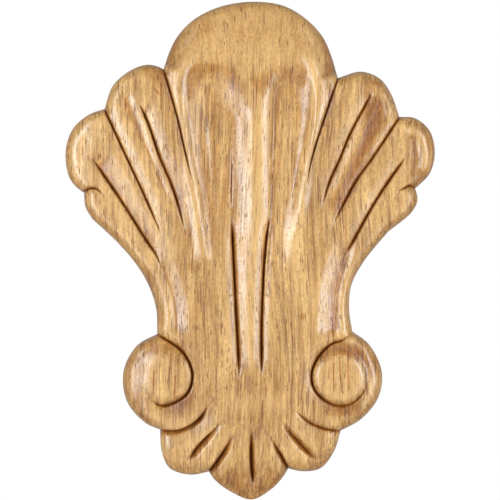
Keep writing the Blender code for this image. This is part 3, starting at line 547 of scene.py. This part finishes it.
class Plan:
    # Points of the flat pattern, kept apart by a least gap, with the edges that have to stay.
    def __init__(self):
        self.points = []
        self.edges = []
        self.cells = {}

    def taken(self, point, gap):
        column, row = math.floor(point[0]), math.floor(point[1])
        for i in (column - 1, column, column + 1):
            for j in (row - 1, row, row + 1):
                for index in self.cells.get((i, j), ()):
                    if math.dist(self.points[index], point) < gap:
                        return index
        return None

    def add(self, point, gap):
        point = (float(point[0]), float(point[1]))
        index = self.taken(point, gap) if gap > 0.0 else None
        if index is None:
            index = len(self.points)
            self.points.append(point)
            self.cells.setdefault((math.floor(point[0]), math.floor(point[1])), []).append(index)
        return index

    def addLine(self, line, gap):
        indices = [self.add(point, gap) for point in line]
        longest = detail["longestEdge"] * detail["line"]
        for a, b in zip(indices, indices[1:]):
            if a != b and math.dist(self.points[a], self.points[b]) < longest:
                self.edges.append((a, b))


def layOutPlan():
    # The outline, the valleys of the cuts, rings round the rim, and a lattice over the rest.
    plan = Plan()
    loop = outlineLoop(detail["outline"])
    for point in loop:
        plan.add(point, 0.0)
    faded = applique["fadedWidth"]
    arrises = []
    for spec in applique["cuts"].values():
        valley = smoothCurve(spec["path"], detail["line"])
        plan.addLine(valley, detail["lineGap"])
        _, _, place, total = measureTo(valley, valley)
        share = (faded + (1.0 - faded) * fadeAlong(spec, place, total))[:, None]
        arrises.append(valley + leftNormals(valley) * spec["valley"][0] * share)
        arrises.append(valley - leftNormals(valley) * spec["valley"][1] * share)
    for line in arrises:
        plan.addLine(line[clearOfRim(line, loop, detail["arrisGap"])], detail["lineGap"])
    for path in applique["checks"]:
        check = smoothCurve(path, detail["line"])
        aside = leftNormals(check) * applique["checkHalfWidth"]
        for line in (check, check + aside, check - aside):
            plan.addLine(line, detail["apart"] * applique["checkHalfWidth"])
    for depth in detail["rings"]:
        # A ring leaves out what comes nearer the rim elsewhere, as in the notches.
        ring = loop - leftNormals(loop, closed=True) * depth
        for point in ring[clearOfRim(ring, loop, detail["ringClear"] * depth)]:
            plan.add(point, min(detail["apart"] * depth, detail["latticeGap"]))
    step = detail["lattice"]
    rows = np.arange(loop[:, 1].min(), loop[:, 1].max(), step * math.sqrt(3.0) / 2.0)
    columns = np.arange(loop[:, 0].min(), loop[:, 0].max(), step)
    lattice = np.array([(x + 0.5 * step * (row % 2), z) for row, z in enumerate(rows) for x in columns])
    for point in lattice[clearOfRim(lattice, loop, detail["rings"][-1] + 0.5 * step)]:
        plan.add(point, detail["latticeGap"])
    return plan, len(loop)


def addObject(name, data):
    made = bpy.data.objects.new(name, data)
    bpy.context.scene.collection.objects.link(made)
    return made


def carveFace():
    # Raise the plan to the carved face, close it with its side wall, and ease it into the back.
    plan, count = layOutPlan()
    rimFace = [list(range(count))]
    flat, _, triangles, sources, _, _ = delaunay_2d_cdt(plan.points, plan.edges, rimFace, 1, 1e-6)
    points = np.array([tuple(point) for point in flat])
    height, carved, glazeAndShade, cutStainAndShade = relief(points)
    # Hollows hold more glaze and painted shade; crests hold less, down to painted light.
    glazeAndShade = glazeAndShade + hollowness(carved, triangles) / applique["fullHollow"]
    # Glaze beyond one turns into dark painted shade.
    cutStainAndShade = np.maximum(cutStainAndShade, applique["overShade"] * np.clip(glazeAndShade - 1.0, 0.0, 1.0))
    glazeAndShade = np.clip(glazeAndShade, -1.0, 1.0)
    vertexOf = {source: index for index, origins in enumerate(sources) for source in origins}
    rim = [vertexOf[index] for index in range(count)]
    bm = bmesh.new()
    for (x, z), rise in zip(points, height):
        bm.verts.new((x * mm, -rise * mm, z * mm))
    ease = applique["backEase"]
    bevel = applique["backBevel"] * ease
    outline = points[rim]
    inward = -leftNormals(outline, closed=True)
    wallLoops = []
    for rise, inset in ((ease, 0.0), (bevel, bevel), (0.0, ease)):
        for x, z in outline + inset * inward:
            bm.verts.new((x * mm, -rise * mm, z * mm))
        start = len(bm.verts) - count
        wallLoops.append(list(range(start, start + count)))
    bm.verts.ensure_lookup_table()
    for triangle in triangles:
        bm.faces.new([bm.verts[index] for index in triangle])
    for upper, lower in zip([rim] + wallLoops, wallLoops):
        for k in range(count):
            corner = (upper[k], upper[k - 1], lower[k - 1], lower[k])
            bm.faces.new([bm.verts[index] for index in corner])
    back = bm.faces.new([bm.verts[index] for index in wallLoops[-1]])
    back.material_index = 1
    back.normal_update()
    bmesh.ops.triangulate(bm, faces=[back])
    bmesh.ops.recalc_face_normals(bm, faces=bm.faces[:])
    mesh = bpy.data.meshes.new(applique["name"])
    bm.to_mesh(mesh)
    bm.free()
    mesh.shade_smooth()
    mesh.set_sharp_from_angle(angle=detail["sharpAngle"])
    # Store the glaze with painted shade and light, and the cut stain with painted shade.
    for name, values in (("cutStainAndShade", cutStainAndShade), ("glazeAndShade", glazeAndShade)):
        stored = mesh.attributes.new(name, "FLOAT", "POINT")
        stored.data.foreach_set("value", np.concatenate([values, np.zeros(3 * count)]).astype(np.float32))
    return addObject(applique["name"], mesh)


def feed(tree, socket, value):
    # Link a socket, or set its plain value.
    if isinstance(value, bpy.types.NodeSocket):
        tree.links.new(value, socket)
    else:
        socket.default_value = value


def setInputs(node, values):
    for name, value in values.items():
        node.inputs[name].default_value = value


def maths(tree, operation, *values):
    made = tree.nodes.new("ShaderNodeMath")
    made.operation = operation
    for socket, value in zip(made.inputs, values):
        feed(tree, socket, value)
    return made.outputs["Value"]


def add(tree, first, second):
    return maths(tree, "ADD", first, second)


def subtract(tree, first, second):
    return maths(tree, "SUBTRACT", first, second)


def multiply(tree, first, second):
    return maths(tree, "MULTIPLY", first, second)


def stretched(tree, place, size):
    # Coordinates that count one for each size, given in millimetres.
    made = tree.nodes.new("ShaderNodeVectorMath")
    made.operation = "DIVIDE"
    feed(tree, made.inputs[0], place)
    made.inputs[1].default_value = [side * mm for side in size]
    return made.outputs["Vector"]


def noise(tree, place, size, detailLevel, roughness):
    made = tree.nodes.new("ShaderNodeTexNoise")
    feed(tree, made.inputs["Vector"], stretched(tree, place, size))
    setInputs(made, {"Scale": 1.0, "Detail": detailLevel, "Roughness": roughness})
    return made.outputs


def ramp(tree, value, low, high, start=0.0, end=1.0):
    made = tree.nodes.new("ShaderNodeMapRange")
    made.interpolation_type = "SMOOTHSTEP"
    feed(tree, made.inputs["Value"], value)
    setInputs(made, {"From Min": low, "From Max": high, "To Min": start, "To Max": end})
    return made.outputs["Result"]


def blend(tree, factor, first, second, mode="MIX"):
    made = tree.nodes.new("ShaderNodeMix")
    made.data_type = "RGBA"
    made.blend_type = mode
    colours = {socket.name: socket for socket in made.inputs if socket.type == "RGBA"}
    feed(tree, made.inputs["Factor"], factor)
    feed(tree, colours["A"], first)
    feed(tree, colours["B"], second)
    return next(socket for socket in made.outputs if socket.type == "RGBA")


def vessels(tree, place, size, radius, share):
    # Long thin pores along the grain, each at a random place and of a random width.
    made = tree.nodes.new("ShaderNodeTexVoronoi")
    made.voronoi_dimensions = "2D"
    feed(tree, made.inputs["Vector"], stretched(tree, place, size))
    made.inputs["Scale"].default_value = 1.0
    pick = tree.nodes.new("ShaderNodeSeparateColor")
    tree.links.new(made.outputs["Color"], pick.inputs["Color"])
    wide = 1.0 - grainLook["wide"] * share
    own = multiply(tree, ramp(tree, pick.outputs["Red"], 1.0 - share, wide), radius)
    across = maths(tree, "DIVIDE", made.outputs["Distance"], add(tree, own, 0.0001))
    return ramp(tree, across, grainLook["edge"], 1.0, 1.0, 0.0)


# The look of the grain, which runs along z. Sizes are in millimetres, across, into and along it;
# every range turns the first two values into the last two.
grainLook = {
    "drift": ((26.0, 26.0, 60.0), 0.0, 0.5),
    "driftReach": (0.008, 0.004, 0.0),  # metres
    # Size, detail and roughness of each noise
    "noises": {
        "broad": ((9.0, 14.0, 120.0), 2.0, 0.5),
        "patch": ((13.0, 14.0, 22.0), 2.0, 0.5),
        "streak": ((1.5, 2.0, 45.0), 3.0, 0.7),
        "fibre": ((0.45, 0.7, 14.0), 2.0, 0.6),
        "speck": ((0.5, 0.6, 1.2), 2.0, 0.7),
        "crowd": ((5.0, 6.0, 30.0), 1.0, 0.5),
        "blotch": ((2.2, 2.2, 4.0), 3.0, 0.6),
        "mottle": ((0.6, 0.6, 0.9), 3.0, 0.75),
        "gloss": ((3.0, 3.0, 8.0), 2.0, 0.5),
    },
    # How dark or light the wood is: low, high and share of three of them
    "tone": {"broad": (0.34, 0.66, 0.25), "patch": (0.34, 0.66, 0.18), "streak": (0.32, 0.68, 0.57)},
    "fibre": (0.25, 0.75, 0.62, 1.2),
    "speck": (0.25, 0.75, 0.76, 1.16),
    "facing": (0.2, 0.6),  # lines and pores show where the surface faces out this much
    # The top of the board: its start in metres up, its even tone, and how much of the grain it lacks
    "plainFrom": (0.062, 0.078),
    "plainTone": 0.5,
    "plainEven": 0.5,
    "plainGrain": 0.6,
    "crowd": (0.4, 0.6, 0.1, 1.0),
    "crowdGrain": (0.1, 1.0, 0.45, 1.0),
    # Lines and pores: size, radius as a share of it, and the share of places that hold one
    "vessels": {
        "longLines": ((1.2, 24.0, 1.0), 0.32, 0.5),
        "shortLines": ((1.1, 11.0, 1.0), 0.32, 0.4),
        "pores": ((0.8, 5.5, 1.0), 0.25, 0.24),
        "dots": ((0.7, 1.9, 1.0), 0.27, 0.12),
    },
    "wide": 0.4,           # the share of them that have the whole radius
    "edge": 0.6,           # where in the radius they begin to fade
    "lineShare": 0.9,
    "poreShare": 0.85,
    "dotShare": 0.7,
    # The glaze with painted shade on end grain that faces up or down, most where it faces down; its
    # blotches; and where it is rubbed off, as painted light
    "endGrainAndShadeUp": (0.2, 0.8, 0.0, 0.25),
    "endGrainAndShadeDown": (0.1, 0.5, 0.0, 0.65),
    "blotch": (0.3, 0.65, 0.45, 1.0),
    # Share of the light wood painted where the glaze is below zero: wear and painted light.
    "rubbedAndPaintedLight": 0.35,
    "sheen": (0.36, 0.56, 0.6, 1.0),
    "coat": (0.36, 0.58, 0.25, 1.0),
    "roughness": {"mottle": 0.2, "dull": 0.16, "pores": 0.2},
    "height": {"fibre": 0.4, "mottle": 0.5, "lines": 0.6},
}


def makeWoodGrain():
    # The shared look of the wood: broad colour, streaks, fibres, lines and pores, all along z,
    # with the golden glaze and painted shade that hollows and end grain take up, and the dark stain
    # and painted shade of the cuts.
    look = grainLook
    group = bpy.data.node_groups.new("woodGrain", "ShaderNodeTree")
    colours = ("Light Wood", "Dark Wood", "Line Colour", "Pore Colour", "Glaze And Shade Colour", "Stain And Shade Colour")
    for names, way, kind in ((colours, "INPUT", "Color"), (("Glaze And Shade", "Stain And Shade", "Polish"), "INPUT", "Float"),
                             (("Colour",), "OUTPUT", "Color"),
                             (("Roughness", "Coat", "Height"), "OUTPUT", "Float")):
        for name in names:
            group.interface.new_socket(name, in_out=way, socket_type="NodeSocket" + kind)
    given = group.nodes.new("NodeGroupInput").outputs
    result = group.nodes.new("NodeGroupOutput").inputs
    coordinates = group.nodes.new("ShaderNodeTexCoord").outputs
    place = coordinates["Object"]
    drift = group.nodes.new("ShaderNodeVectorMath")
    drift.operation = "MULTIPLY_ADD"
    group.links.new(noise(group, place, *look["drift"])["Color"], drift.inputs[0])
    drift.inputs[1].default_value = look["driftReach"]
    group.links.new(place, drift.inputs[2])
    place = drift.outputs["Vector"]
    value = {name: noise(group, place, *sizes)["Fac"] for name, sizes in look["noises"].items()}
    # The pores lie in the plane of the face, and fade out on the steep sides.
    spread = group.nodes.new("ShaderNodeSeparateXYZ")
    group.links.new(place, spread.inputs["Vector"])
    plane = group.nodes.new("ShaderNodeCombineXYZ")
    group.links.new(spread.outputs["X"], plane.inputs["X"])
    group.links.new(spread.outputs["Z"], plane.inputs["Y"])
    plane = plane.outputs["Vector"]
    tilt = group.nodes.new("ShaderNodeSeparateXYZ")
    group.links.new(coordinates["Normal"], tilt.inputs["Vector"])
    facing = ramp(group, maths(group, "ABSOLUTE", tilt.outputs["Y"]), *look["facing"])
    tone = 0.0
    for name, (low, high, share) in look["tone"].items():
        tone = add(group, tone, multiply(group, ramp(group, value[name], low, high), share))
    # The top of the board is plainer than the rest.
    plain = ramp(group, spread.outputs["Z"], *look["plainFrom"])
    lack = subtract(group, look["plainTone"], tone)
    tone = add(group, tone, multiply(group, lack, multiply(group, plain, look["plainEven"])))
    colour = blend(group, tone, given["Dark Wood"], given["Light Wood"])
    crowd = ramp(group, value["crowd"], *look["crowd"])
    grained = subtract(group, 1.0, multiply(group, plain, look["plainGrain"]))
    grained = multiply(group, grained, ramp(group, crowd, *look["crowdGrain"]))
    fibred = blend(group, 1.0, colour, ramp(group, value["fibre"], *look["fibre"]), "MULTIPLY")
    colour = blend(group, grained, colour, fibred)
    colour = blend(group, 1.0, colour, ramp(group, value["speck"], *look["speck"]), "MULTIPLY")
    # Long fine lines, pores, and the dots of the finest ones.
    holes = {name: vessels(group, plane, *sizes) for name, sizes in look["vessels"].items()}
    lines = maths(group, "MAXIMUM", holes["longLines"], holes["shortLines"])
    lines = multiply(group, lines, multiply(group, grained, facing))
    colour = blend(group, multiply(group, lines, look["lineShare"]), colour, given["Line Colour"])
    pores = maths(group, "MAXIMUM", holes["pores"], multiply(group, holes["dots"], look["dotShare"]))
    pores = multiply(group, pores, facing)
    colour = blend(group, multiply(group, pores, look["poreShare"]), colour, given["Pore Colour"])
    # End grain takes up more glaze, and painted shade darkens it, most of all where it faces down.
    down = multiply(group, tilt.outputs["Z"], -1.0)
    endGrainAndShade = maths(group, "MAXIMUM", ramp(group, tilt.outputs["Z"], *look["endGrainAndShadeUp"]),
                     ramp(group, down, *look["endGrainAndShadeDown"]))
    held = maths(group, "MAXIMUM", endGrainAndShade, ramp(group, given["Glaze And Shade"], 0.0, 1.0))
    held = multiply(group, held, ramp(group, value["blotch"], *look["blotch"]))
    colour = blend(group, held, colour, blend(group, 1.0, colour, given["Glaze And Shade Colour"], "MULTIPLY"))
    # A glaze below zero is rubbed down to the light wood, a painted light on crests and on the lighter
    # places.
    rubbedAndPaintedLight = ramp(group, multiply(group, given["Glaze And Shade"], -1.0), 0.0, 1.0)
    colour = blend(group, multiply(group, rubbedAndPaintedLight, look["rubbedAndPaintedLight"]), colour, given["Light Wood"])
    # The dark stain of the cuts, which is also painted shade in their bottoms.
    stainedAndShaded = blend(group, 1.0, colour, given["Stain And Shade Colour"], "MULTIPLY")
    colour = blend(group, given["Stain And Shade"], colour, stainedAndShaded)
    group.links.new(colour, result["Colour"])
    mottle = value["mottle"]
    sheen = ramp(group, value["gloss"], *look["sheen"])
    share = look["roughness"]
    rough = add(group, given["Polish"], multiply(group, mottle, share["mottle"]))
    rough = add(group, rough, multiply(group, subtract(group, 1.0, sheen), share["dull"]))
    rough = add(group, rough, multiply(group, pores, share["pores"]))
    group.links.new(rough, result["Roughness"])
    coat = multiply(group, ramp(group, mottle, *look["coat"]), subtract(group, 1.0, pores))
    group.links.new(multiply(group, coat, sheen), result["Coat"])
    share = look["height"]
    raised = multiply(group, value["fibre"], share["fibre"])
    raised = add(group, raised, multiply(group, mottle, share["mottle"]))
    sunk = maths(group, "MAXIMUM", pores, multiply(group, lines, share["lines"]))
    group.links.new(subtract(group, raised, sunk), result["Height"])
    return group


finish = {
    "lightWood": (0.83, 0.503, 0.187, 1.0),
    "darkWood": (0.38, 0.156, 0.023, 1.0),
    "line": (0.27, 0.1, 0.02, 1.0),
    "pore": (0.2, 0.07, 0.016, 1.0),
    # The glaze colour also paints shade in hollows and on end grain.
    "glazeAndShade": (0.71, 0.55, 0.25, 1.0),
    # The stain colour also paints shade in the bottoms of the cuts.
    "stainAndShade": (0.6, 0.34, 0.12, 1.0),
    "polish": 0.30,
    "coatRoughness": 0.32,
    "coatIor": 1.66,
    "bump": 0.8,
    "bumpDistance": 0.1,
    "bareLightWood": (0.72, 0.55, 0.34, 1.0),
    "bareDarkWood": (0.55, 0.38, 0.21, 1.0),
    "barePolish": 0.6,
}


def woodMaterial(name, grain, light, dark, polish, lacquered):
    material = bpy.data.materials.new(name)
    material.use_nodes = True
    tree = material.node_tree
    shader = tree.nodes["Principled BSDF"]
    wood = tree.nodes.new("ShaderNodeGroup")
    wood.node_tree = grain
    setInputs(wood, {"Light Wood": light, "Dark Wood": dark, "Line Colour": finish["line"],
                     "Pore Colour": finish["pore"], "Glaze And Shade Colour": finish["glazeAndShade"],
                     "Stain And Shade Colour": finish["stainAndShade"], "Polish": polish})
    if lacquered:
        # The glaze with painted shade and light, and the cut stain with painted shade, come from the
        # points.
        for attributeName, socket in (("glazeAndShade", "Glaze And Shade"), ("cutStainAndShade", "Stain And Shade")):
            stored = tree.nodes.new("ShaderNodeAttribute")
            stored.attribute_name = attributeName
            tree.links.new(stored.outputs["Fac"], wood.inputs[socket])
        tree.links.new(wood.outputs["Coat"], shader.inputs["Coat Weight"])
        setInputs(shader, {"Coat Roughness": finish["coatRoughness"], "Coat IOR": finish["coatIor"]})
    bump = tree.nodes.new("ShaderNodeBump")
    setInputs(bump, {"Strength": finish["bump"], "Distance": finish["bumpDistance"] * mm})
    tree.links.new(wood.outputs["Height"], bump.inputs["Height"])
    tree.links.new(wood.outputs["Colour"], shader.inputs["Base Color"])
    tree.links.new(wood.outputs["Roughness"], shader.inputs["Roughness"])
    tree.links.new(bump.outputs["Normal"], shader.inputs["Normal"])
    return material


studio = {
    "view": (-0.57, 0.0),  # millimetres: what the middle of the picture looks at
    "viewWidth": 191.0,    # millimetres across the picture, at the carved face
    "faceDepth": 9.0,
    "cameraDistance": 1.5,
    "sensor": 36.0,
    "floorLevel": -0.25,
    "floorSize": 2.4,
    "floorColour": (0.80, 0.79, 0.77, 1.0),
    "floorRoughness": 0.9,
    "surround": 0.36,
    "lightColour": (0.94, 1.0, 1.05),
    # Softboxes: place, width and height, power in watts
    "lights": {
        "leftSoftbox": ((-0.80, -0.80, 0.06), (0.42, 0.8), 9.6),
        "rightSoftbox": ((0.85, -0.75, 0.06), (0.36, 0.8), 8.4),
    },
}


def setUpStudio():
    floorMaterial = bpy.data.materials.new("paleFloor")
    floorMaterial.use_nodes = True
    shader = floorMaterial.node_tree.nodes["Principled BSDF"]
    setInputs(shader, {"Base Color": studio["floorColour"], "Roughness": studio["floorRoughness"]})
    bpy.ops.mesh.primitive_plane_add(size=studio["floorSize"], location=(0.0, 0.0, studio["floorLevel"]))
    floor = bpy.context.object
    floor.name = "floor"
    floor.data.materials.append(floorMaterial)
    target = Vector((studio["view"][0] * mm, -studio["faceDepth"] * mm, studio["view"][1] * mm))
    for name, (place, (width, height), power) in studio["lights"].items():
        light = bpy.data.lights.new(name, "AREA")
        light.shape = "RECTANGLE"
        light.size = width
        light.size_y = height
        light.energy = power
        light.color = studio["lightColour"]
        lamp = addObject(name, light)
        lamp.location = place
        lamp.rotation_euler = (target - lamp.location).to_track_quat("-Z", "Y").to_euler()
    world = bpy.data.worlds.new("paleStudio")
    world.use_nodes = True
    tree = world.node_tree
    background = tree.nodes["Background"]
    seen = tree.nodes.new("ShaderNodeLightPath").outputs["Is Camera Ray"]
    background.inputs["Color"].default_value = (1.0, 1.0, 1.0, 1.0)
    brighter = multiply(tree, seen, 1.0 - studio["surround"])
    tree.links.new(add(tree, brighter, studio["surround"]), background.inputs["Strength"])
    bpy.context.scene.world = world
    bpy.context.scene.view_settings.view_transform = "Standard"


def setUpCamera():
    lens = bpy.data.cameras.new("camera")
    lens.sensor_width = studio["sensor"]
    reach = studio["cameraDistance"] / mm - studio["faceDepth"]
    lens.lens = studio["sensor"] * reach / studio["viewWidth"]
    camera = addObject("camera", lens)
    camera.location = (studio["view"][0] * mm, -studio["cameraDistance"], studio["view"][1] * mm)
    camera.rotation_euler = (math.radians(90.0), 0.0, 0.0)
    bpy.context.scene.camera = camera


setUpCamera()
setUpStudio()
print("studio and camera set up")
grain = makeWoodGrain()
carved = carveFace()
woods = {
    "lacqueredWood": (finish["lightWood"], finish["darkWood"], finish["polish"], True),
    "bareWood": (finish["bareLightWood"], finish["bareDarkWood"], finish["barePolish"], False),
}
for name, (light, dark, polish, lacquered) in woods.items():
    carved.data.materials.append(woodMaterial(name, grain, light, dark, polish, lacquered))
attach(carved, "root")
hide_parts("applique")
print("applique carved:", len(carved.data.polygons), "faces")
